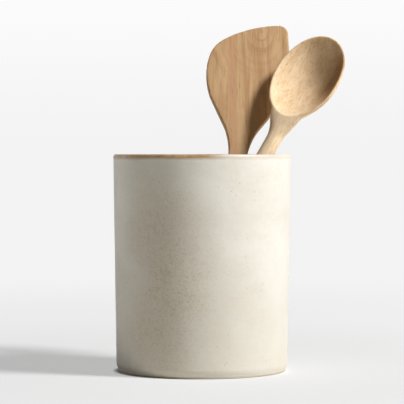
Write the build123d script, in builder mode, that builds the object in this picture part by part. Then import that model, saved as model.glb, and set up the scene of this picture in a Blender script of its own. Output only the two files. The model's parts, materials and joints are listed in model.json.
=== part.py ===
"""Stoneware utensil crock with a wooden spoon and a wooden turner leaning in it.

Millimetres, +Z up, +X to the right and -Y towards the front. The origin is the
middle of the crock's foot, on the surface that the crock stands on.
"""
from build123d import *
from math import cos, hypot, radians, sin, sqrt
import os

# The crock, one thrown piece of stoneware.
crock_height = 178.0
rim_diameter = 146.0
heel_diameter = 141.2
wall = 5.5
floor_height = 9.0
floor_bevel = 8.0
lip_facets = 4

# The unglazed foot that the crock stands on, and the turned recess inside it.
foot_height = 1.4
foot_inset = 1.8
heel_rise = 3.6
foot_ring_width = 7.0
recess_depth = 2.2

# The least gap between a tool and the crock where it stands and leans.
seat_gap = 0.3

# The spoon: a turned handle that flows into a carved bowl.
spoon_neck_above_lip = 4.2
spoon_handle_diameter = 13.2
spoon_end_bevel = 2.4
neck_length = 34.0
bowl_length = 82.4
bowl_width = 62.4
bowl_depth = 16.0
bowl_lip = 2.4
bowl_crown = 0.35
hollow_depth = 11.0
face_offset = 6.0

# Where along the neck, from its start to the bowl's middle, each change happens.
face_flattens_shares = (0.10, 0.62)
bowl_flares_shares = (0.24, 0.56)
back_deepens_shares = (0.10, 0.95)
oval_reach_share = 0.87
neck_sections = 9
bowl_section_turns = (0, 20, 40, 60, 78)

# The turner: a flat bar handle that widens into a thin blade with a slanted end.
blade_above_lip = 15.0
turner_handle_width = 16.0
turner_handle_thickness = 9.0
turner_bevel_share = 0.27
blade_length = 112.0
shoulder_rise = 51.0
shoulder_width = 77.0
blade_end_width = 57.6
blade_end_thickness = 3.0
neck_round = 49.0
shoulder_round = 52.0
slant_radius = 99.0
slant_centre_across = 36.5
slant_sweep = 60.0
slant_short_round = 28.0
slant_tall_round = 8.0
bevel_width = 3.2
bevel_depth = 1.4
blade_cap = 0.4
blade_sections = 16
overrun = 2.0

# How each tool stands: where its foot and its lean lie round the crock, in degrees
# from +X, how far out on the flat floor its foot is, and how its face is turned.
spoon_foot_turn = -147.2
spoon_foot_share = 0.898
spoon_lean_turn = 28.6
spoon_face_turn = -33.0
turner_foot_turn = -44.0
turner_foot_share = 0.224
turner_lean_turn = 59.4
turner_face_turn = 0.0

# How finely the place where a tool touches the lip is looked for.
seat_steps = 24
ring_steps = 720

rim_radius = rim_diameter / 2
heel_radius = heel_diameter / 2
foot_radius = heel_radius - foot_inset
floor_flat_radius = heel_radius - wall - floor_bevel
lip_round = wall / 2
lip_ring_radius = rim_radius - lip_round
lip_ring_height = crock_height - lip_round


def lip_clearance(point, along):
    """Least distance from the line through point to the middle of the lip's round."""
    nearest = crock_height
    for step in range(ring_steps):
        turn = radians(360 * step / ring_steps)
        ring_x = lip_ring_radius * cos(turn)
        ring_y = lip_ring_radius * sin(turn)
        to_ring = Vector(ring_x, ring_y, lip_ring_height) - point
        nearest = min(nearest, to_ring.cross(along).length)
    return nearest


def leaning_plane(foot_turn, foot_share, lean_turn, face_turn, edge_reach, spread):
    """Plane at a tool's foot: Z along the handle, X across it, Y towards its back.

    A handle lies within two rounds of radius edge_reach, with their middles at
    spread to either side of the handle's middle line. Its end is as round in front.
    """
    foot_reach = foot_share * floor_flat_radius
    foot_x = foot_reach * cos(radians(foot_turn))
    foot_y = foot_reach * sin(radians(foot_turn))
    foot_z = floor_height + seat_gap + edge_reach + spread
    inside, outside = 0.0, rim_radius
    for _ in range(seat_steps):
        reach = (inside + outside) / 2
        lean_x = reach * cos(radians(lean_turn))
        lean_y = reach * sin(radians(lean_turn))
        foot = Vector(foot_x, foot_y, foot_z)
        along = (Vector(lean_x, lean_y, lip_ring_height) - foot).normalized()
        across = Vector(along.Z, 0, -along.X).normalized()
        across = across.rotate(Axis((0, 0, 0), along), face_turn)
        foot_z = floor_height + seat_gap + edge_reach + spread * hypot(along.Z, across.Z)
        edges = (foot + across * spread, foot - across * spread)
        if min(lip_clearance(edge, along) for edge in edges) > edge_reach + lip_round + seat_gap:
            inside = reach
        else:
            outside = reach
    return Plane(origin=foot, x_dir=across, z_dir=along)


def lip_place(plane):
    """How far along a tool's handle the crock's lip is."""
    return (lip_ring_height - plane.origin.Z) / plane.z_dir.Z


def ease(share, start=0.0, end=1.0):
    """Rise from 0 to 1 between start and end, level at both."""
    share = min(max((share - start) / (end - start), 0.0), 1.0)
    return share * share * (3 - 2 * share)


def front_of(plane):
    """The tool's middle plane, seen from its front: X across, Y along the handle."""
    return Plane(origin=plane.origin, x_dir=plane.x_dir, z_dir=-plane.y_dir)


def corner(across, up):
    """The corner of the sketch being drawn that lies at a point."""
    return vertices().sort_by_distance((across, up))[0]


# The crock is turned: one profile, revolved about the middle. Its lip is half a round,
# as wide as the wall, in short straight steps.
lip_turns = [radians(180 * step / lip_facets) for step in range(lip_facets + 1)]
lip_points = [
    (lip_ring_radius + lip_round * cos(turn), lip_ring_height + lip_round * sin(turn))
    for turn in lip_turns
]
with BuildPart() as crock:
    with BuildSketch(Plane.XZ):
        with BuildLine():
            Polyline(
                (0, recess_depth),
                (foot_radius - foot_ring_width, recess_depth),
                (foot_radius - foot_ring_width, 0),
                (foot_radius, 0),
                (foot_radius, foot_height),
                (heel_radius, foot_height + heel_rise),
                *lip_points,
                (heel_radius - wall, floor_height),
                (0, floor_height),
                (0, recess_depth),
            )
        make_face()
        chamfer(corner(heel_radius - wall, floor_height), floor_bevel)
    revolve(axis=Axis.Z)
crock.part.label = "crock"

# The spoon's handle is round. Its bowl is lofted through sections across it: round
# where they leave the handle, then flat in front and full behind, up to the tip.
spoon_radius = spoon_handle_diameter / 2
spoon_plane = leaning_plane(
    spoon_foot_turn,
    spoon_foot_share,
    spoon_lean_turn,
    spoon_face_turn,
    spoon_radius,
    0,
)
spoon_end = sqrt(spoon_end_bevel * (spoon_handle_diameter - spoon_end_bevel))
neck_start = lip_place(spoon_plane) + spoon_neck_above_lip
bowl_middle = neck_start + neck_length + bowl_length / 2
bowl_tip = bowl_middle + bowl_length / 2


def oval_half_width(along):
    """Half the width of the bowl's oval at a distance along it from its middle."""
    share = along / (bowl_length / 2)
    return bowl_width / 2 * sqrt(1 - share * share)


def neck_section(share):
    """Place, half width, front height, back depth and face line, neck to bowl middle."""
    place = neck_start + (bowl_middle - neck_start) * share
    flattened = ease(share, *face_flattens_shares)
    flared = ease(share, *bowl_flares_shares)
    deepened = ease(share, *back_deepens_shares)
    oval = oval_half_width(max(place - bowl_middle, -bowl_length / 2 * oval_reach_share))
    half = spoon_radius + (oval - spoon_radius) * flared
    front = spoon_radius + (bowl_crown - spoon_radius) * flattened
    back = spoon_radius + (bowl_depth - spoon_radius) * deepened
    return place, half, front, back, face_offset * flattened


def bowl_section(turn):
    """The same five sizes where the bowl rounds over to its tip."""
    place = bowl_middle + bowl_length / 2 * sin(radians(turn))
    share = cos(radians(turn))
    return place, bowl_width / 2 * share, bowl_crown * share, bowl_depth * share, face_offset


with BuildPart() as wooden_spoon:
    with BuildSketch(spoon_plane.offset(-spoon_end)):
        Circle(spoon_radius)
    extrude(amount=neck_start + spoon_end)
    chamfer(edges().group_by(Axis(spoon_plane.origin, spoon_plane.z_dir))[0], spoon_end_bevel)
    sections = [neck_section(step / neck_sections) for step in range(neck_sections)]
    sections += [bowl_section(turn) for turn in bowl_section_turns]
    outlines = []
    for place, half, front, back, face in sections:
        with BuildSketch(spoon_plane.offset(place), mode=Mode.PRIVATE) as outline:
            with BuildLine():
                ThreePointArc((half, -face), (0, back - face), (-half, -face))
                ThreePointArc((-half, -face), (0, -front - face), (half, -face))
            make_face()
        outlines.append(outline.sketch)
    tip = Vertex(*spoon_plane.from_local_coords((0, -face_offset, bowl_tip)))
    loft(sections=[*outlines, tip])
    # The hollow is one turned scoop whose axis lies in front of the bowl.
    hollow_half_width = bowl_width / 2 - bowl_lip
    hollow_half_length = bowl_length / 2 - bowl_lip
    scoop_stand_off = (hollow_half_width**2 - hollow_depth**2) / (2 * hollow_depth)
    scoop_radius = scoop_stand_off + hollow_depth
    scoop_half_length = hollow_half_length / sqrt(1 - (scoop_stand_off / scoop_radius) ** 2)
    scoop_plane = Plane(
        origin=spoon_plane.from_local_coords((0, -face_offset - scoop_stand_off, bowl_middle)),
        x_dir=spoon_plane.x_dir,
        z_dir=-spoon_plane.y_dir,
    )
    with BuildSketch(scoop_plane):
        with BuildLine():
            EllipticalCenterArc((0, 0), scoop_radius, scoop_half_length, 270, arc_size=180)
            Line((0, -scoop_half_length), (0, scoop_half_length))
        make_face()
    revolve(axis=Axis(scoop_plane.origin, scoop_plane.y_dir), mode=Mode.SUBTRACT)
wooden_spoon.part.label = "wooden_spoon"

# The turner's handle is a bar with round edges. Its blade is lofted through sections
# across it, each as wide as the plan of the blade is there, thinner towards the end.
turner_half_width = turner_handle_width / 2
turner_half_thickness = turner_handle_thickness / 2
turner_bevel = turner_handle_thickness * turner_bevel_share
turner_plane = leaning_plane(
    turner_foot_turn,
    turner_foot_share,
    turner_lean_turn,
    turner_face_turn,
    hypot(turner_half_thickness, turner_half_thickness - turner_bevel),
    turner_half_width - turner_half_thickness,
)
blade_start = lip_place(turner_plane) + blade_above_lip
blade_end = blade_start + blade_length
handle_end = blade_start - neck_round
shoulder_place = blade_start + shoulder_rise
shoulder_half = shoulder_width / 2
blade_end_half = blade_end_width / 2
slant_centre = (slant_centre_across, blade_end - slant_radius)

with BuildSketch() as under_slant:
    with Locations(slant_centre):
        Circle(slant_radius)
    with Locations((0, slant_centre[1])):
        Rectangle(shoulder_width, slant_centre[1], align=(Align.CENTER, Align.MAX))

with BuildSketch() as blade_plan:
    with BuildLine():
        Polyline(
            (turner_half_width, 0),
            (turner_half_width, blade_start),
            (shoulder_half, shoulder_place),
            (blade_end_half, blade_end),
            (-blade_end_half, blade_end),
            (-shoulder_half, shoulder_place),
            (-turner_half_width, blade_start),
            (-turner_half_width, 0),
            close=True,
        )
    make_face()
    for side in (turner_half_width, -turner_half_width):
        fillet(corner(side, blade_start), neck_round)
    for side in (shoulder_half, -shoulder_half):
        fillet(corner(side, shoulder_place), shoulder_round)
    add(under_slant.sketch, mode=Mode.INTERSECT)
    left_corners = vertices().filter_by(lambda vertex: vertex.X < 0)
    fillet(left_corners.sort_by(Axis.Y)[-1], slant_short_round)
    fillet(corner(blade_end_half, blade_end), slant_tall_round)


def blade_section(step):
    """Place, left edge, right edge and thickness of a section of the blade."""
    last = blade_plan.sketch.bounding_box().max.Y - blade_cap
    place = handle_end + (last - handle_end) * sin(radians(90 * step / blade_sections))
    across = Edge.make_line((-shoulder_half, place), (shoulder_half, place))
    crossings = blade_plan.sketch.intersect(across).vertices().sort_by(Axis.X)
    thinned = ease(place, blade_start, blade_end)
    thickness = turner_handle_thickness
    thickness += (blade_end_thickness - turner_handle_thickness) * thinned
    return place, crossings[0].X, crossings[-1].X, thickness


def bevelled_bar(width, thickness):
    """A bar's section, its long edges bevelled by a share of its thickness."""
    Rectangle(width, thickness)
    chamfer(vertices(), thickness * turner_bevel_share)


with BuildPart() as wooden_turner:
    with BuildSketch(turner_plane):
        bevelled_bar(turner_handle_width, turner_handle_thickness)
    extrude(amount=handle_end)
    with BuildSketch(turner_plane):
        bevelled_bar(turner_handle_width, turner_handle_thickness)
        split(bisect_by=Plane.YZ)
    revolve(axis=Axis(turner_plane.origin, turner_plane.y_dir))
    outlines = []
    for step in range(blade_sections + 1):
        place, left, right, thickness = blade_section(step)
        with BuildSketch(turner_plane.offset(place), mode=Mode.PRIVATE) as outline:
            bevelled_bar(right - left, thickness)
        outlines.append(outline.sketch.moved(Location(turner_plane.x_dir * (left + right) / 2)))
    loft(sections=outlines)
    # The slanted end is bevelled in front, round the same middle as the slant.
    bevel_slope = bevel_depth / bevel_width
    bevel_from = slant_radius - bevel_width
    front_height = blade_end_thickness / 2
    bevel_plane = Plane(
        origin=turner_plane.from_local_coords((slant_centre[0], 0, slant_centre[1])),
        x_dir=turner_plane.z_dir,
        z_dir=turner_plane.x_dir,
    )
    with BuildSketch(bevel_plane):
        with BuildLine():
            Polyline(
                (bevel_from - overrun, front_height + overrun * bevel_slope),
                (slant_radius + overrun, front_height - (bevel_width + overrun) * bevel_slope),
                (slant_radius + overrun, front_height + overrun * bevel_slope),
                close=True,
            )
        make_face()
    revolve(
        axis=Axis(bevel_plane.origin, bevel_plane.y_dir),
        revolution_arc=slant_sweep,
        mode=Mode.SUBTRACT,
    )
wooden_turner.part.label = "wooden_turner"

os.makedirs("parts", exist_ok=True)
export_step(crock.part, "parts/crock.step")
export_step(wooden_spoon.part, "parts/wooden_spoon.step")
export_step(wooden_turner.part, "parts/wooden_turner.step")
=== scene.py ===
# %% [markdown]
# # A stoneware crock with two wooden tools
#
# This lesson dresses a CAD model for a picture. The CAD model holds three solids:
# a glazed crock, a wooden spoon and a wooden turner. Their sizes are right, but
# their edges are cut in flat facets. We model each one again as its maker would
# shape it, give it a finish, and set it in soft studio light.
#
# We begin by loading the CAD model. It stays where it is and tells us every size
# and place that we need. Lengths are in metres.

# %% Load the CAD model
import bpy
import json
from math import atan, atan2, cos, degrees, radians, sin, sqrt, tan
from mathutils import Matrix, Vector


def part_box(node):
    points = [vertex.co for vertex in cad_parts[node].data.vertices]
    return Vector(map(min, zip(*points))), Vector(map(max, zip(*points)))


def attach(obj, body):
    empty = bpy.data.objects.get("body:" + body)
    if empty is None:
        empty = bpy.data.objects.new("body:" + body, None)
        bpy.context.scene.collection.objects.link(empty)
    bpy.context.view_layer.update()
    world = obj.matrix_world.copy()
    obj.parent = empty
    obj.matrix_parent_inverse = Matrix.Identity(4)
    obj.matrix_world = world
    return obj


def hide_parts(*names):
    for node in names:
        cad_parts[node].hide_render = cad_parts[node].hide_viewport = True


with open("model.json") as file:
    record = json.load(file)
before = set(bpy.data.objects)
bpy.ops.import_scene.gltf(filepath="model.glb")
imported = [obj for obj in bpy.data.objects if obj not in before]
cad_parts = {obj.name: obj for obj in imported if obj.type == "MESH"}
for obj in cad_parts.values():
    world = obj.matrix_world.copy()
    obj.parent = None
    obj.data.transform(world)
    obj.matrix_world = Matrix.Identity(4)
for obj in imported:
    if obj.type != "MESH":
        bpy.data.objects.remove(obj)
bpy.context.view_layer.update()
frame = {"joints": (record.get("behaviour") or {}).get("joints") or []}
mm = 0.001

# %% [markdown]
# ## Working in edit mode
#
# An operator acts on whatever is selected, so every step first says what it works
# on. Small helpers do that: one starts from an empty selection, one selects the
# corners, edges or faces that pass a test, and one adds a modifier and applies it.


# %% Helpers for edit mode
def start_clean():
    """Leave edit mode and deselect every object."""
    if bpy.context.object and bpy.context.object.mode == "EDIT":
        bpy.ops.object.mode_set(mode="OBJECT")
    bpy.ops.object.select_all(action="DESELECT")


def select(kind, test):
    """In edit mode, select only the corners, edges or faces that pass a test."""
    modes = {"vertices": "VERT", "edges": "EDGE", "polygons": "FACE"}
    bpy.ops.mesh.select_all(action="DESELECT")
    bpy.ops.mesh.select_mode(type=modes[kind])
    bpy.ops.object.mode_set(mode="OBJECT")
    mesh = bpy.context.object.data
    for part in getattr(mesh, kind):
        part.select = test(part)
    bpy.ops.object.mode_set(mode="EDIT")


def edge_middle(edge):
    """The middle point of an edge of the piece being shaped."""
    mesh = bpy.context.object.data
    first, second = (mesh.vertices[index].co for index in edge.vertices)
    return (first + second) / 2


def ring_at(height, radius):
    """A test for the edges that run round the Z axis at one height and radius."""
    mesh = bpy.context.object.data
    slack = 0.4 * mm

    def test(edge):
        corners = [mesh.vertices[index].co for index in edge.vertices]
        return all(
            abs(corner.z - height) < slack and abs(corner.xy.length - radius) < slack
            for corner in corners
        )

    return test


def add_modifier(piece, kind, **settings):
    """Add a modifier with these settings to a piece and apply it at once."""
    modifier = piece.modifiers.new(kind.title(), kind)
    for name, value in settings.items():
        setattr(modifier, name, value)
    bpy.ops.object.modifier_apply(modifier=modifier.name)


print("Ready to model")

# %% [markdown]
# ## The crock
#
# The real crock is thrown on a wheel, so every part of it is round. We could turn
# one profile about the Z axis, but shaping one lump step by step is closer to how a
# potter works, and it leaves clean rings of faces. We start from a cylinder, open
# it from the top, and cut the foot from below.

# %% The crock's sizes
crock_low, crock_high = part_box("crock")
rim_radius = (crock_high.x - crock_low.x) / 2
crock_height = crock_high.z
heel_radius = rim_radius - 2.4 * mm
wall = 5.5 * mm
floor_height = 9 * mm
foot_height = 1.4 * mm
heel_rise = 3.6 * mm
foot_inset = 1.8 * mm
foot_ring = 7 * mm
recess_depth = 2.2 * mm
ring_faces = 256
print("Crock:", round(2 * rim_radius / mm), "mm wide,", round(crock_height / mm), "mm tall")

# %% Raise the wall
start_clean()
wall_bottom = foot_height + heel_rise
bpy.ops.mesh.primitive_cylinder_add(
    vertices=ring_faces,
    radius=heel_radius,
    depth=crock_height - wall_bottom,
    end_fill_type="NGON",
    location=(0, 0, (crock_height + wall_bottom) / 2),
)
bpy.ops.object.transform_apply(location=True)
crock = bpy.context.object
crock.name = "thrown_crock"
bpy.ops.object.mode_set(mode="EDIT")
select("polygons", lambda face: face.center.z > crock_height - mm and face.normal.z > 0.9)
widening = rim_radius / heel_radius
bpy.ops.transform.resize(value=(widening, widening, 1))
print("Rim reaches", round((rim_radius - heel_radius) / mm, 1), "mm further out than the base")

# %% Open the inside
# The rim's face is still selected. Inset leaves a band as wide as the wall, and
# extruding the middle straight down makes the hollow. The floor is then drawn in,
# so that the wall keeps its thickness all the way down.
bpy.ops.mesh.inset(thickness=wall, depth=0)
bpy.ops.mesh.extrude_region_move(
    TRANSFORM_OT_translate={"value": (0, 0, floor_height - crock_height)}
)
narrowing = (heel_radius - wall) / (rim_radius - wall)
bpy.ops.transform.resize(value=(narrowing, narrowing, 1))
print("Inside opened to", round(floor_height / mm), "mm above the ground")

# %% Trim the foot
# From below, the base steps in to the foot, and a shallow recess leaves only a
# ring of clay to stand on.
foot_radius = heel_radius - foot_inset
select("polygons", lambda face: face.center.z < wall_bottom + mm and face.normal.z < -0.9)
bpy.ops.mesh.extrude_region_move(TRANSFORM_OT_translate={"value": (0, 0, -heel_rise)})
stepping = foot_radius / heel_radius
bpy.ops.transform.resize(value=(stepping, stepping, 1))
bpy.ops.mesh.extrude_region_move(TRANSFORM_OT_translate={"value": (0, 0, -foot_height)})
bpy.ops.mesh.inset(thickness=foot_ring, depth=0)
bpy.ops.mesh.extrude_region_move(TRANSFORM_OT_translate={"value": (0, 0, recess_depth)})
print("Foot ring", round(foot_ring / mm), "mm wide")

# %% Round the edges
# Wet hands leave no sharp edge. The rim's two edges are rounded until they almost
# meet, the floor runs up into the wall in a wide curve, and the heel in a small one.
# A row holds the height and radius of an edge, the size of its round and its steps.
roundings = [
    (crock_height, rim_radius, 2.6 * mm, 8),
    (crock_height, rim_radius - wall, 2.6 * mm, 8),
    (floor_height, heel_radius - wall, 9 * mm, 8),
    (wall_bottom, heel_radius, 2.2 * mm, 6),
    (foot_height, foot_radius, 0.6 * mm, 3),
    (0, foot_radius, 0.5 * mm, 3),
    (0, foot_radius - foot_ring, 0.5 * mm, 3),
    (recess_depth, foot_radius - foot_ring, 1.2 * mm, 3),
]
for height, radius, amount, steps in roundings:
    select("edges", ring_at(height, radius))
    bpy.ops.mesh.bevel(offset=amount, segments=steps, affect="EDGES", clamp_overlap=False)
bpy.ops.object.mode_set(mode="OBJECT")
print("Crock:", len(crock.data.polygons), "faces")

# %% Throwing marks
# A thrown wall is never quite even. We cut the wall into low rings and let a soft
# cloud pattern press it in by up to half a millimetre, and never out, so that the
# crock stays inside the CAD model's box.
wall_rings = 40
rings_start = 12 * mm
rings_span = crock_height - 18 * mm
bpy.ops.object.mode_set(mode="EDIT")
for ring in range(1, wall_rings):
    bpy.ops.mesh.select_all(action="SELECT")
    height = rings_start + rings_span * ring / wall_rings
    bpy.ops.mesh.bisect(plane_co=(0, 0, height), plane_no=(0, 0, 1))
bpy.ops.mesh.select_all(action="SELECT")
bpy.ops.mesh.normals_make_consistent(inside=False)
bpy.ops.object.mode_set(mode="OBJECT")
unevenness = bpy.data.textures.new("unevenness", "CLOUDS")
unevenness.noise_scale = 60 * mm
add_modifier(
    crock, "DISPLACE", texture=unevenness, texture_coords="LOCAL", strength=0.5 * mm, mid_level=1
)
bpy.ops.object.shade_smooth_by_angle(angle=radians(50))
print("Crock:", len(crock.data.polygons), "faces after the wall's rings")

# %% [markdown]
# ## Where the tools stand
#
# Each tool leans from a foot on the crock's floor to the rim. The CAD model's lift
# joints run along the handles, so a joint's axis gives a handle's direction. We
# model each tool upright, with its foot at the origin and its front towards -Y,
# and lean it into the crock when it is done.


# %% The tools' places
def leaning(joint_name, foot, face_turn):
    """The matrix that leans a tool along its joint's axis and turns its face, in degrees."""
    joint = next(joint for joint in frame["joints"] if joint["name"] == joint_name)
    along = Vector(joint["axis"]).normalized()
    across = Vector((along.z, 0, -along.x)).normalized()
    across = Matrix.Rotation(radians(face_turn), 3, along) @ across
    back = along.cross(across)
    return Matrix.Translation(foot) @ Matrix((across, back, along)).transposed().to_4x4()


# A foot is the middle of the round end that the handle stands on.
spoon_foot = Vector((-43.10, -27.78, 15.90)) * mm
turner_foot = Vector((8.94, -9.21, 17.90)) * mm
spoon_face_turn = -33
spoon_place = leaning("spoon_lift", spoon_foot, spoon_face_turn)
turner_place = leaning("turner_lift", turner_foot, 0)
print("Spoon leans", round(degrees(spoon_place.to_quaternion().angle)), "degrees in all")

# %% [markdown]
# ## The wooden spoon
#
# The spoon's handle is turned round, and its bowl is carved. We draw it as rings
# stacked along the handle. Each ring is pulled from the one before it, then made
# wider, flatter in front or deeper behind. The hollow is a scoop cut by an egg
# shape, and a fine remesh with some smoothing rounds the lip as sanding does.

# %% The spoon's sizes
spoon_radius = 6.6 * mm
neck_start = 197.68 * mm
neck_length = 34 * mm
bowl_length = 82.4 * mm
bowl_width = 61.2 * mm
bowl_depth = 15 * mm
face_offset = 6 * mm
face_crown = 0.4 * mm
oval_start_share = -0.87
bowl_middle = neck_start + neck_length + bowl_length / 2
neck_span = bowl_middle - neck_start
ring_corners = 48


def ease(share, start, end):
    """Rise from 0 to 1 between start and end, level at both."""
    share = min(max((share - start) / (end - start), 0), 1)
    return share * share * (3 - 2 * share)


def spoon_ring(place):
    """Half width, front height, back depth and face offset at a place on the spoon."""
    if place < 0:
        round_share = sqrt(1 - (place / spoon_radius) ** 2)
        return (spoon_radius * round_share,) * 3 + (0,)
    along_bowl = (place - bowl_middle) / (bowl_length / 2)
    if along_bowl > 0:
        oval = sqrt(1 - along_bowl**2)
        return bowl_width / 2 * oval, face_crown * oval, bowl_depth * oval, face_offset
    share = max((place - neck_start) / neck_span, 0)
    oval_width = bowl_width / 2 * sqrt(1 - max(along_bowl, oval_start_share) ** 2)
    flared = ease(share, 0.18, 0.56)
    flattened = ease(share, 0.10, 0.62)
    deepened = ease(share, 0.10, 0.95)
    return (
        spoon_radius + (oval_width - spoon_radius) * flared,
        spoon_radius + (face_crown - spoon_radius) * flattened,
        spoon_radius + (bowl_depth - spoon_radius) * deepened,
        face_offset * flattened,
    )


print("Spoon:", round((bowl_middle + bowl_length / 2 + spoon_radius) / mm), "mm long")

# %% Places for the spoon's rings
# The rings lie close together where the shape changes quickly.
handle_rings = 12
neck_rings = 36
foot_places = [-spoon_radius * cos(radians(turn)) for turn in (12, 25, 40, 55, 70)]
handle_places = [step * neck_start / handle_rings for step in range(handle_rings)]
neck_places = [neck_start + neck_span * step / neck_rings for step in range(neck_rings + 1)]
bowl_places = [bowl_middle + bowl_length / 2 * sin(radians(turn)) for turn in range(6, 88, 5)]
places = foot_places + handle_places + neck_places + bowl_places
print("Places for", len(places), "rings")

# %% Draw the spoon ring by ring
start_clean()
bpy.ops.mesh.primitive_circle_add(
    vertices=ring_corners,
    radius=spoon_ring(places[0])[0],
    fill_type="NGON",
    location=(0, 0, places[0]),
)
bpy.ops.object.transform_apply(location=True)
spoon = bpy.context.object
spoon.name = "carved_spoon"
ring_slack = 0.01 * mm
face_slack = 0.001 * mm
bpy.ops.object.mode_set(mode="EDIT")
for below, place in zip(places, places[1:]):
    last_half, last_front, last_back, last_face = spoon_ring(below)
    half, front, back, face = spoon_ring(place)
    bpy.ops.mesh.extrude_region_move(TRANSFORM_OT_translate={"value": (0, 0, place - below)})
    middle = (0, -last_face, place)
    bpy.ops.transform.resize(value=(half / last_half, 1, 1), center_override=middle)
    top = place - ring_slack
    select("vertices", lambda corner: corner.co.z > top and corner.co.y < -last_face - face_slack)
    bpy.ops.transform.resize(value=(1, front / last_front, 1), center_override=middle)
    select("vertices", lambda corner: corner.co.z > top and corner.co.y > -last_face + face_slack)
    bpy.ops.transform.resize(value=(1, back / last_back, 1), center_override=middle)
    select("vertices", lambda corner: corner.co.z > top)
    bpy.ops.transform.translate(value=(0, last_face - face, 0))
bpy.ops.mesh.select_all(action="SELECT")
bpy.ops.mesh.normals_make_consistent(inside=False)
bpy.ops.object.mode_set(mode="OBJECT")
print("Spoon drawn with", len(spoon.data.polygons), "faces")

# %% Scoop the hollow
# An egg shape with its middle in front of the bowl cuts a hollow that is deepest
# in the middle and runs out to an even lip.
lip = 1.7 * mm
hollow_depth = 12 * mm
half_width = bowl_width / 2 - lip
half_length = bowl_length / 2 - lip
stand_off = (half_width**2 - hollow_depth**2) / (2 * hollow_depth)
scoop_radius = stand_off + hollow_depth
scoop_length = half_length / sqrt(1 - (stand_off / scoop_radius) ** 2)
start_clean()
bpy.ops.mesh.primitive_uv_sphere_add(
    segments=128, ring_count=96, radius=scoop_radius,
    location=(0, -face_offset - stand_off, bowl_middle),
)
scoop = bpy.context.object
scoop.scale.z = scoop_length / scoop_radius
bpy.ops.object.transform_apply(location=True, scale=True)
start_clean()
spoon.select_set(True)
bpy.context.view_layer.objects.active = spoon
add_modifier(spoon, "BOOLEAN", operation="DIFFERENCE", object=scoop, solver="EXACT")
bpy.data.objects.remove(scoop)
print("Hollow", round(hollow_depth / mm), "mm deep")

# %% Sand the spoon
# The remesh lays an even skin over the shape, and smoothing wears down the lip.
add_modifier(spoon, "REMESH", mode="VOXEL", voxel_size=0.62 * mm)
add_modifier(spoon, "SMOOTH", factor=0.5, iterations=5)
bpy.ops.object.shade_smooth()
spoon.matrix_world = spoon_place
bpy.ops.object.transform_apply(location=True, rotation=True, scale=True)
print("Spoon:", len(spoon.data.polygons), "faces")

# %% [markdown]
# ## The wooden turner
#
# A turner is sawn from a flat board: the outline first, then the edges are
# rounded, and then the blade is planed thinner towards its end. We follow the same
# order. The outline is one flat face, whose corners at the foot, the neck and the
# shoulders are rounded by a bevel. The slanted end is brought to its curve by many
# straight cuts that touch a circle, and planing is a straight cut as well.

# %% The turner's sizes
bar_width = 16 * mm
bar_thickness = 9 * mm
blade_start = 184.74 * mm
blade_length = 111.6 * mm
shoulder_rise = 51 * mm
shoulder_width = 77 * mm
end_width = 57.6 * mm
end_thickness = 3 * mm
neck_round = 49 * mm
shoulder_round = 52 * mm
slant_radius = 99 * mm
slant_across = 36.5 * mm
short_round = 28 * mm
tall_round = 8 * mm
foot_round = 0.49 * bar_width
blade_end = blade_start + blade_length
shoulder_place = blade_start + shoulder_rise
neck_lean = atan((shoulder_width - bar_width) / 2 / shoulder_rise)
side_lean = atan((shoulder_width - end_width) / 2 / (blade_length - shoulder_rise))
print("Turner:", round((blade_end + bar_width / 2) / mm), "mm long")


# %% Saw the outline
def extrude_blade(rise, width_before, width_after):
    """Pull the selected edge up the blade and set its new width."""
    bpy.ops.mesh.extrude_region_move(TRANSFORM_OT_translate={"value": (0, 0, rise)})
    bpy.ops.transform.resize(value=(width_after / width_before, 1, 1))


handle_length = blade_start + bar_width / 2
start_clean()
bpy.ops.mesh.primitive_plane_add(
    size=1, rotation=(radians(90), 0, 0), location=(0, 0, blade_start - handle_length / 2)
)
turner = bpy.context.object
turner.name = "sawn_turner"
turner.scale = (bar_width, handle_length, 1)
bpy.ops.object.transform_apply(location=True, rotation=True, scale=True)
bpy.ops.object.mode_set(mode="EDIT")
select("edges", lambda edge: edge_middle(edge).z > blade_start - mm)
extrude_blade(shoulder_rise, bar_width, shoulder_width)
extrude_blade(blade_length - shoulder_rise, shoulder_width, end_width)
bpy.ops.mesh.select_all(action="SELECT")
bpy.ops.mesh.dissolve_limited(angle_limit=radians(1))
corner_rounds = [
    (-bar_width / 2, radians(90), foot_round),
    (blade_start, neck_lean, neck_round),
    (shoulder_place, neck_lean + side_lean, shoulder_round),
]
for height, turn, radius in corner_rounds:
    select("vertices", lambda corner: abs(corner.co.z - height) < 0.1 * mm)
    bpy.ops.mesh.bevel(
        offset=radius * tan(turn / 2), segments=20, affect="VERTICES", clamp_overlap=False
    )
print("Outline sawn, with round corners at", len(corner_rounds), "heights")

# %% Give the board its thickness
bpy.ops.mesh.select_all(action="SELECT")
bpy.ops.mesh.extrude_region_move(TRANSFORM_OT_translate={"value": (0, bar_thickness, 0)})
bpy.ops.mesh.select_all(action="SELECT")
bpy.ops.transform.translate(value=(0, -bar_thickness / 2, 0))
bpy.ops.mesh.normals_make_consistent(inside=False)
print("Board", round(bar_thickness / mm), "mm thick")


# %% Trim the slanted end
def cut_away(point, outward):
    """Cut the piece at a plane, take off what lies outside it and close the cut."""
    bpy.ops.mesh.select_all(action="SELECT")
    bpy.ops.mesh.bisect(plane_co=point, plane_no=outward, use_fill=True, clear_outer=True)


def facing(turn):
    """The direction at a turn, in degrees from straight up, positive towards +X."""
    return Vector((sin(radians(turn)), 0, cos(radians(turn))))


def trim_round(centre, radius, first, last, step):
    """Cut the blade with planes that touch a circle, from one turn to another."""
    cuts = max(round(abs(last - first) / step), 1)
    for cut in range(cuts + 1):
        outward = facing(first + (last - first) * cut / cuts)
        cut_away(centre + outward * radius, outward)


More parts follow.
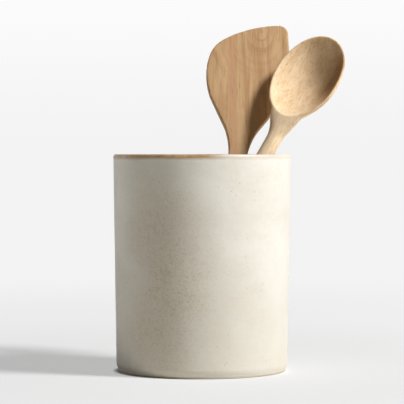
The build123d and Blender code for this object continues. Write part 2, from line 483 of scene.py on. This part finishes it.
def end_corner(side, radius):
    """The middle of a round between one side of the blade and its slanted end."""
    outward = Vector((side * cos(side_lean), 0, sin(side_lean)))
    upward = Vector((-side * sin(side_lean), 0, cos(side_lean)))
    shoulder = Vector((side * shoulder_width / 2, 0, shoulder_place))
    aside = (shoulder - slant_centre).dot(outward) - radius
    middle = slant_centre + outward * aside
    middle += upward * sqrt((slant_radius - radius) ** 2 - aside**2)
    touch = middle - slant_centre
    return middle, degrees(atan2(touch.x, touch.z)), side * (90 - degrees(side_lean))


slant_centre = Vector((slant_across, 0, blade_end - slant_radius))
short_corner, slant_first, short_side = end_corner(-1, short_round)
tall_corner, slant_last, tall_side = end_corner(1, tall_round)
trim_round(slant_centre, slant_radius, slant_first, slant_last, step=3)
trim_round(short_corner, short_round, short_side, slant_first, step=6)
trim_round(tall_corner, tall_round, slant_last, tall_side, step=8)
bpy.ops.object.mode_set(mode="OBJECT")
print("End slanted over", round(slant_last - slant_first), "degrees")

# %% Round the edges and plane the blade
# The edges are rounded while the board is still thick. Planing then takes the front
# and back of the blade down in slopes that grow steeper towards the end. A row
# holds where a slope starts, measured from the start of the blade, and its steepness.
add_modifier(
    turner, "BEVEL", width=2.8 * mm, segments=5, limit_method="ANGLE", angle_limit=radians(40)
)
bpy.ops.object.mode_set(mode="EDIT")
planed_from = [(-20 * mm, 0.010), (8 * mm, 0.022), (23.8 * mm, 0.034)]
for offset, slope in planed_from:
    for side in (1, -1):
        cut_away((0, side * bar_thickness / 2, blade_start + offset), (0, side, slope))
print("Blade planed to", round(end_thickness / mm), "mm at its end")

# %% Bevel the slanted end
# Straight cuts along the slant take a narrow bevel off the front of the blade.
bevel_width = 3.2 * mm
bevel_depth = 1.4 * mm
bevel_cuts = 16
to_front = Vector((0, -end_thickness / 2, 0))
for cut in range(bevel_cuts + 1):
    outward = facing(slant_first + (slant_last - slant_first) * cut / bevel_cuts)
    point = slant_centre + outward * (slant_radius - bevel_width) + to_front
    cut_away(point, outward * bevel_depth - Vector((0, bevel_width, 0)))
bpy.ops.object.mode_set(mode="OBJECT")
print("Bevel", round(bevel_width / mm, 1), "mm wide on the slanted end")

# %% Sand the turner
add_modifier(turner, "REMESH", mode="VOXEL", voxel_size=0.65 * mm)
add_modifier(turner, "SMOOTH", factor=0.5, iterations=5)
bpy.ops.object.shade_smooth()
turner.matrix_world = turner_place
bpy.ops.object.transform_apply(location=True, rotation=True, scale=True)
print("Turner:", len(turner.data.polygons), "faces")

# %% [markdown]
# ## Each piece takes its place
#
# A piece rides on the CAD body that it belongs to, so that it lifts out with it,
# and it replaces the plain solid that it was modelled over.

# %% Ride on the CAD bodies
for piece, node, body, slot in (
    (crock, "crock", "crock", "stoneware_glaze"),
    (spoon, "wooden_spoon", "spoon", "spoon_wood"),
    (turner, "wooden_turner", "turner", "turner_wood"),
):
    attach(piece, body)
    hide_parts(node)
    print(piece.name, "stands for", node)

# %% [markdown]
# ## Finishes as arithmetic
#
# A finish is a network of nodes, which is slow to read as wires. Here a socket is
# wrapped in a small class, so that a sum or a product in Python adds the Math node
# that does it. Every other node comes from one method, which takes the node's
# type, its settings and what goes into its sockets.


# %% A socket that does arithmetic
class Value:
    """A shader socket that works in Python arithmetic: each operator adds a Math node."""

    def __init__(self, network, socket):
        self.network = network
        self.socket = socket

    def __add__(self, other):
        return self.network.math("ADD", self, other)

    def __sub__(self, other):
        return self.network.math("SUBTRACT", self, other)

    def __mul__(self, other):
        return self.network.math("MULTIPLY", self, other)

    def __truediv__(self, other):
        return self.network.math("DIVIDE", self, other)

    def __pow__(self, other):
        return self.network.math("POWER", self, other)

    def __radd__(self, other):
        return self.network.math("ADD", other, self)

    def __rsub__(self, other):
        return self.network.math("SUBTRACT", other, self)

    def __rmul__(self, other):
        return self.network.math("MULTIPLY", other, self)


print("Sockets can be added, subtracted, multiplied and divided")


# %% A tree of nodes
class Network:
    """A tree of shader nodes, and the one method that adds to it."""

    def __init__(self, tree):
        self.tree = tree

    def node(self, kind, settings=None, inputs=None, output=None):
        """Add a node, set it up, feed its sockets and return one of its outputs."""
        node = self.tree.nodes.new(kind)
        for name, value in (settings or {}).items():
            setattr(node, name, value)
        sockets = [socket for socket in node.inputs if socket.enabled]
        for key, value in (inputs or {}).items():
            if isinstance(key, str):
                socket = next(socket for socket in sockets if socket.name == key)
            else:
                socket = sockets[key]
            self.feed(socket, value)
        outputs = [socket for socket in node.outputs if socket.enabled]
        if output:
            return Value(self, next(socket for socket in outputs if socket.name == output))
        return Value(self, outputs[0])

    def feed(self, socket, value):
        """Link a value into a socket, or set the socket to a plain number or colour."""
        if isinstance(value, Value):
            self.tree.links.new(value.socket, socket)
        else:
            socket.default_value = value

    def math(self, operation, *values):
        """Do one sum on one or more values."""
        return self.node("ShaderNodeMath", {"operation": operation}, dict(enumerate(values)))

    def mix(self, share, first, second):
        """Mix two colours: the first where the share is 0, the second where it is 1."""
        inputs = {"Factor": share, "A": first, "B": second}
        return self.node("ShaderNodeMix", {"data_type": "RGBA"}, inputs, "Result")

    def between(self, value, low, high):
        """0 where a value is at low, 1 where it is at high, smooth in between."""
        settings = {"interpolation_type": "SMOOTHSTEP"}
        return self.node("ShaderNodeMapRange", settings, {0: value, 1: low, 2: high})


print("Ready to add nodes")


# %% A finish
class Finish(Network):
    """A material being made, with its Principled BSDF ready to be fed."""

    def __init__(self, name):
        self.material = bpy.data.materials.new(name)
        self.material.use_nodes = True
        super().__init__(self.material.node_tree)
        self.shader = self.tree.nodes["Principled BSDF"]
        self.coordinates = self.node("ShaderNodeTexCoord", output="Object")

    def noise(self, where, size, detail, roughness=0.5, distortion=0.0):
        """A cloudy pattern, whose clouds are about as large as the size in metres."""
        inputs = {
            "Vector": where, "Scale": 1 / size, "Detail": detail,
            "Roughness": roughness, "Distortion": distortion,
        }
        return self.node("ShaderNodeTexNoise", inputs=inputs)

    def stretched(self, stretch, where=None):
        """Coordinates scaled along each axis, to draw a pattern out."""
        inputs = {"Vector": where or self.coordinates, "Scale": stretch}
        return self.node("ShaderNodeMapping", inputs=inputs)

    def part_of(self, vector, axis):
        """One of the three numbers of a vector."""
        return self.node("ShaderNodeSeparateXYZ", inputs={0: vector}, output=axis)

    def bump(self, height, distance, strength):
        """A relief: how the height, from 0 to 1, tips the surface."""
        inputs = {"Strength": strength, "Distance": distance, "Height": height}
        return self.node("ShaderNodeBump", inputs=inputs)

    def finish_as(self, **values):
        """Feed the Principled BSDF's sockets, with _ for a space in a socket's name."""
        for name, value in values.items():
            self.feed(self.shader.inputs[name.replace("_", " ")], value)
        return self.material


print("Ready to mix finishes")


# %% Colours from a paint chart
def paint(red, green, blue):
    """A colour as a paint chart gives it, from 0 to 255, for a shader."""
    levels = [level / 255 for level in (red, green, blue)]
    linear = [
        level / 12.92 if level < 0.04045 else ((level + 0.055) / 1.055) ** 2.4 for level in levels
    ]
    return (*linear, 1.0)


print("Ready to mix colours")

# %% [markdown]
# ## The glaze
#
# The glaze is a satin cream. Where it lies thick it is pale, and where it runs
# thin, at the rim, the warm clay shows through. Between the two it is clouded with
# grey and light brown, and fine specks of iron come up in it.

# %% Clouds in the glaze
glaze = Finish("satin_cream_glaze")
where = glaze.coordinates
height = glaze.part_of(where, "Z")
broad = glaze.noise(where, 60 * mm, detail=3)
bands = glaze.noise(glaze.stretched((1, 1, 2.2)), 46 * mm, detail=3, distortion=0.3)
small = glaze.noise(where, 6 * mm, detail=4, roughness=0.7)
fine = glaze.noise(where, 1.5 * mm, detail=3, roughness=0.6)
cream = paint(230, 228, 221)
stone = paint(221, 217, 208)
blush = paint(202, 187, 164)
colour = glaze.mix(glaze.between(broad * 0.8 + small * 0.2, 0.36, 0.66), cream, stone)
# The glaze is made darker towards the bottom.
lower = glaze.between(height, 160 * mm, 30 * mm)
colour = glaze.mix(lower * 0.5, colour, paint(213, 209, 199))
clouds = glaze.between(bands * 0.7 + broad * 0.3, 0.44, 0.64) * 0.22
grains = glaze.between(small * 0.5 + fine * 0.5, 0.4, 0.6) * 0.5 + 0.5
print("Glaze clouded")

# %% Three warm patches
# On its left front the glaze ran thinner in three places, and fine worm-like marks
# show in them. A row holds a patch's middle and how far it reaches.
patch_rows = [
    (Vector((-33, -63, 118)) * mm, 34 * mm),
    (Vector((-36, -61, 36)) * mm, 36 * mm),
    (Vector((-14, -70, 76)) * mm, 16 * mm),
]
patch_fade = 22 * mm
veins = glaze.noise(where, 3.4 * mm, detail=3, roughness=0.55, distortion=0.6) - 0.5
veins = glaze.between(veins * veins, 0.0012, 0.0)
patches = 0
for patch_middle, reach in patch_rows:
    from_middle = glaze.node(
        "ShaderNodeVectorMath", {"operation": "DISTANCE"}, {0: where, 1: patch_middle}, "Value"
    )
    patch_edge = from_middle + (bands - 0.5) * (50 * mm) + (small - 0.5) * (14 * mm)
    patches = glaze.between(patch_edge, reach + patch_fade, -4 * mm) * 0.5 + patches
thinned = glaze.math("MAXIMUM", clouds, patches) * grains * 0.74
colour = glaze.mix(thinned, colour, blush)
colour = glaze.mix(veins * (patches * 0.5 + 0.05), colour, paint(156, 134, 106))
print("Patches and veins added")


# %% Specks
def dots(spacing, size, chance):
    """Round dots of a size, set as far apart as the spacing, where a chance allows."""
    cells = glaze.node(
        "ShaderNodeTexVoronoi", inputs={"Vector": where, "Scale": 1 / spacing}, output="Distance"
    )
    return glaze.between(cells + (fine - 0.5) * 0.2, size / spacing, 0.4 * size / spacing) * chance


blotches = dots(6.5 * mm, 1.1 * mm, glaze.between(bands, 0.46, 0.6))
colour = glaze.mix(blotches * 0.28, colour, paint(168, 134, 100))
pits = dots(4.2 * mm, 0.42 * mm, glaze.between(small, 0.5, 0.6))
colour = glaze.mix(pits * 0.48, colour, paint(110, 86, 62))
print("Specks added")

# %% Thin glaze at the rim and bare clay under the foot
rim_edge = height + (small - 0.5) * (2.2 * mm) + (broad - 0.5) * (2 * mm)
thin = glaze.between(rim_edge, crock_height - 5.4 * mm, crock_height - 2.2 * mm)
sideways = glaze.part_of(where, "X") + (broad - 0.5) * (60 * mm)
browned = 0.28 + glaze.between(sideways, 24 * mm, 2 * mm) * 0.68
rim_tone = glaze.mix(glaze.between(small, 0.4, 0.6), paint(162, 126, 82), paint(188, 154, 110))
colour = glaze.mix(thin * browned, colour, rim_tone)
bare = glaze.between(height, 1.9 * mm, 1.2 * mm)
colour = glaze.mix(bare, colour, paint(190, 181, 166))
ripples = glaze.noise(glaze.stretched((0.4, 0.4, 3)), 16 * mm, detail=3)
relief = glaze.bump(fine * 0.35 + ripples * 0.65 - pits * 0.4, 0.3 * mm, 0.4)
crock.data.materials.append(
    glaze.finish_as(
        Base_Color=colour,
        Roughness=0.36 + small * 0.16 + bare * 0.3,
        Normal=relief,
        IOR=1.5,
    )
)
print("Glaze:", len(glaze.tree.nodes), "nodes")

# %% [markdown]
# ## The wood
#
# Both tools are bare wood, the spoon pale and the turner brown. A Mapping node
# turns the coordinates into the tool's own, with Z along its grain, and a pattern
# that is drawn out along Z looks like fibre. Growth rings are cylinders in a
# trunk. A board cut beside the middle of the trunk shows them as long streaks, and
# as arches where the cut runs at a slant.


# %% Coordinates along the grain
def grain_coordinates(finish, place):
    """The piece's coordinates, turned and moved so that Z runs along its grain."""
    inputs = {
        "Vector": finish.coordinates,
        "Location": place.translation,
        "Rotation": place.to_euler(),
    }
    return finish.node("ShaderNodeMapping", {"vector_type": "TEXTURE"}, inputs)


print("Grain runs along", [round(part, 2) for part in spoon_place.col[2].xyz])

# %% The spoon's pale wood
# The handle and neck are painted paler than the bowl, as painted light. The bowl's right side
# is painted browner, with denser pores, as painted shade in the hollow. Its lip stays pale.
pale = Finish("pale_close_grained_wood")
grain = grain_coordinates(pale, spoon_place)
fibre = pale.noise(pale.stretched((1, 1, 0.12), grain), 1.1 * mm, detail=4, roughness=0.7)
streak = pale.noise(pale.stretched((1, 1, 0.14), grain), 7 * mm, detail=3, roughness=0.55)
mottle = pale.noise(pale.stretched((1, 1, 0.5), grain), 4 * mm, detail=4, roughness=0.65)
darker = pale.between(streak * 0.5 + mottle * 0.5, 0.36, 0.64)
colour = pale.mix(darker, paint(253, 224, 186), paint(238, 202, 158))
along = pale.part_of(grain, "Z")
on_bowl = pale.between(along, bowl_middle - 44 * mm, bowl_middle - 26 * mm)
# Painted light: the handle and neck are made paler than the bowl.
colour = pale.mix((1 - on_bowl) * 0.4, colour, paint(255, 236, 204))
colour = pale.mix(pale.between(fibre, 0.46, 0.76) * 0.52, colour, paint(176, 130, 84))
# Painted shade: the bowl's right side, turned from the lamp, is made browner and its pores denser.
sideways = pale.part_of(grain, "X") + (streak - 0.5) * (8 * mm)
painted_shade_side = pale.between(sideways, 6 * mm, 23 * mm) * pale.between(sideways, 30 * mm, 27 * mm)
painted_shade_side = painted_shade_side * pale.between(along, bowl_middle - 30 * mm, bowl_middle)
colour = pale.mix(painted_shade_side * 0.74, colour, paint(164, 112, 62))
pores = pale.node(
    "ShaderNodeTexVoronoi",
    inputs={"Vector": pale.stretched((1, 1, 0.22), grain), "Scale": 1 / (1.25 * mm)},
    output="Distance",
)
pored = pale.between(mottle + painted_shade_side * 0.14 + on_bowl * 0.06, 0.45, 0.62)
pores = pale.between(pores + fibre * 0.1, 0.32, 0.12) * pored
pores = pores * (0.2 + on_bowl * 0.3 + painted_shade_side * 0.3)
colour = pale.mix(pores, colour, paint(122, 80, 44))
relief = pale.bump(fibre * 0.6 + streak * 0.4 - pores * 0.6, 0.18 * mm, 0.35)
spoon.data.materials.append(
    pale.finish_as(
        Base_Color=colour, Roughness=0.6 + fibre * 0.2, Normal=relief, Specular_IOR_Level=0.08
    )
)
print("Spoon's wood:", len(pale.tree.nodes), "nodes")

# %% The turner's streaked wood
# The board was sawn at a small angle to its grain. The distance from a line in the
# board stands for the distance from the middle of the trunk, which gives arches
# near the end of the blade.
streaked = Finish("streaked_brown_wood")
sawn_turn = Matrix.Rotation(radians(-7.5), 4, "Y")
grain = grain_coordinates(streaked, turner_place @ sawn_turn)
fibre = streaked.noise(streaked.stretched((1, 1, 0.06), grain), 1.2 * mm, detail=4, roughness=0.68)
wander = streaked.noise(streaked.stretched((1, 1, 0.3), grain), 26 * mm, detail=3)
broad_streak = streaked.noise(
    streaked.stretched((1, 0.4, 0.07), grain), 9 * mm, detail=3, roughness=0.6, distortion=0.9
)
across = streaked.part_of(grain, "X")
along = streaked.part_of(grain, "Z")
arch_middle = 43 * mm
arch_top = blade_end - 12 * mm
from_arch = across - arch_middle + (wander - 0.5) * (9 * mm)
below_arch = (arch_top - along) * 0.7
ring_distance = (from_arch * from_arch + below_arch * below_arch) ** 0.5
ring_place = streaked.node("ShaderNodeCombineXYZ", inputs={0: ring_distance, 2: along * 0.08})
rings = streaked.noise(ring_place, 5 * mm, detail=3, roughness=0.6)
print("Arches centred", round((blade_end - arch_top) / mm), "mm below the end of the blade")

# %% The turner's colours
# A pinkish stripe runs up the blade along its grain.
pink_middle = 18.3 * mm
pink_reach = 5.5 * mm
colour = streaked.mix(
    streaked.between(broad_streak, 0.36, 0.64), paint(206, 171, 130), paint(186, 148, 108)
)
near_top = streaked.between(along, blade_end - 62 * mm, blade_end - 26 * mm) * 0.85 + 0.15
colour = streaked.mix(
    streaked.between(rings, 0.42, 0.68) * near_top * 0.58, colour, paint(158, 114, 76)
)
from_pink = (across - pink_middle + (wander - 0.5) * (5 * mm)) / pink_reach
pink = streaked.between(from_pink * from_pink, 1.0, 0.2)
colour = streaked.mix(pink * 0.4, colour, paint(184, 136, 104))
colour = streaked.mix(streaked.between(fibre, 0.48, 0.76) * 0.48, colour, paint(128, 90, 54))
relief = streaked.bump(fibre * 0.7 + broad_streak * 0.3, 0.18 * mm, 0.35)
turner.data.materials.append(
    streaked.finish_as(
        Base_Color=colour, Roughness=0.58 + fibre * 0.2, Normal=relief, Specular_IOR_Level=0.08
    )
)
print("Turner's wood:", len(streaked.tree.nodes), "nodes")

# %% [markdown]
# ## Floor, light and camera
#
# The crock stands on a wide pale floor. Close by, the floor is matt and takes the
# shadow. Further out it turns into the even pale ground behind, so no horizon
# shows. One large soft lamp stands to the right and a little in front. The floor,
# a white card on the left and the pale surroundings fill the shadows a little.

# %% The floor
# The camera sees matt ground mixed with a plain glow, which grows outwards. All
# other rays meet a plain matt floor, which throws a slightly warm light back up.
floor_radius = 6
start_clean()
bpy.ops.mesh.primitive_circle_add(vertices=96, radius=floor_radius, fill_type="NGON")
floor = bpy.context.object
floor.name = "pale_floor"
ground = Finish("pale_ground")
ground.finish_as(Base_Color=paint(232, 232, 232), Roughness=0.9, Specular_IOR_Level=0.1)
away = ground.node(
    "ShaderNodeVectorMath", {"operation": "LENGTH"}, {0: ground.coordinates}, "Value"
)
brightened = ground.between(away, 0.15, 0.55)
glow_tone = ground.mix(brightened, paint(230, 230, 230), paint(243, 243, 243))
glow = ground.node("ShaderNodeEmission", inputs={"Color": glow_tone})
beside = ground.between(away, foot_radius, foot_radius + 6 * mm)
far = ground.between(away, 0.25, 1.3)
matt = Value(ground, ground.shader.outputs[0])
glowing = 0.56 * beside + 0.44 * far
seen_floor = ground.node("ShaderNodeMixShader", inputs={0: glowing, 1: matt, 2: glow})
plain = ground.node("ShaderNodeBsdfDiffuse", inputs={"Color": paint(229, 224, 213)})
by_camera = ground.node("ShaderNodeLightPath", output="Is Camera Ray")
surface = ground.node("ShaderNodeMixShader", inputs={0: by_camera, 1: plain, 2: seen_floor})
ground.feed(ground.tree.nodes["Material Output"].inputs["Surface"], surface)
floor.data.materials.append(ground.material)
print("Floor laid")

# %% The pale surroundings
# The camera and reflections see them bright. As a light they are faint.
world = bpy.data.worlds.new("pale_studio")
world.use_nodes = True
bpy.context.scene.world = world
studio = Network(world.node_tree)
toward = studio.node("ShaderNodeTexCoord", output="Generated")
upwards = studio.node("ShaderNodeSeparateXYZ", inputs={0: toward}, output="Z")
sky = studio.mix(studio.between(upwards, 0.0, 0.08), paint(243, 243, 243), paint(251, 251, 251))
bright = studio.node("ShaderNodeBackground", inputs={"Color": sky})
fill = studio.node("ShaderNodeBackground", inputs={"Color": paint(255, 248, 238), "Strength": 0.02})
in_camera = studio.node("ShaderNodeLightPath", output="Is Camera Ray")
in_reflections = studio.node("ShaderNodeLightPath", output="Is Glossy Ray")
seen = studio.math("MAXIMUM", in_camera, in_reflections)
surroundings = studio.node("ShaderNodeMixShader", inputs={0: seen, 1: fill, 2: bright})
studio.feed(studio.tree.nodes["World Output"].inputs["Surface"], surroundings)
print("Surroundings set")


# %% The lamp and the card
# The key lamp is round. The white card is a faint square light on the left, a
# little behind the crock.
def add_light(name, shape, size, energy, turn, rise, distance):
    """Aim a soft light at the crock. The turn runs from the front, positive to the right."""
    turn, rise = radians(turn), radians(rise)
    outward = Vector((sin(turn) * cos(rise), -cos(turn) * cos(rise), sin(rise)))
    target = Vector((0, 0, 0.15))
    bpy.ops.object.light_add(type="AREA", location=target + outward * distance)
    light = bpy.context.object
    light.name = name
    light.data.shape = shape
    light.data.size = size
    light.data.energy = energy
    light.rotation_euler = (-outward).to_track_quat("-Z", "Y").to_euler()
    print(name, distance, "m away")


add_light("key_lamp", "DISK", size=1.1, energy=338, turn=68, rise=46, distance=5)
add_light("white_card", "SQUARE", size=1.2, energy=8, turn=-122, rise=12, distance=2.5)

# %% The camera
# The photograph was taken from the height of the rim, and from well back with a
# long lens, so the rim shows as a straight line.
camera_distance = 1.663
look_height = 0.1385
lens_length = 180.4
camera_place = Vector((0, -camera_distance, crock_height))
look_at = Vector((0, 0, look_height))
bpy.ops.object.camera_add(location=camera_place)
camera = bpy.context.object
camera.rotation_euler = (look_at - camera_place).to_track_quat("-Z", "Y").to_euler()
camera.data.sensor_width = 36
camera.data.lens = lens_length
bpy.context.scene.camera = camera
bpy.context.scene.view_settings.view_transform = "Standard"
print("Camera at", [round(part, 3) for part in camera_place])
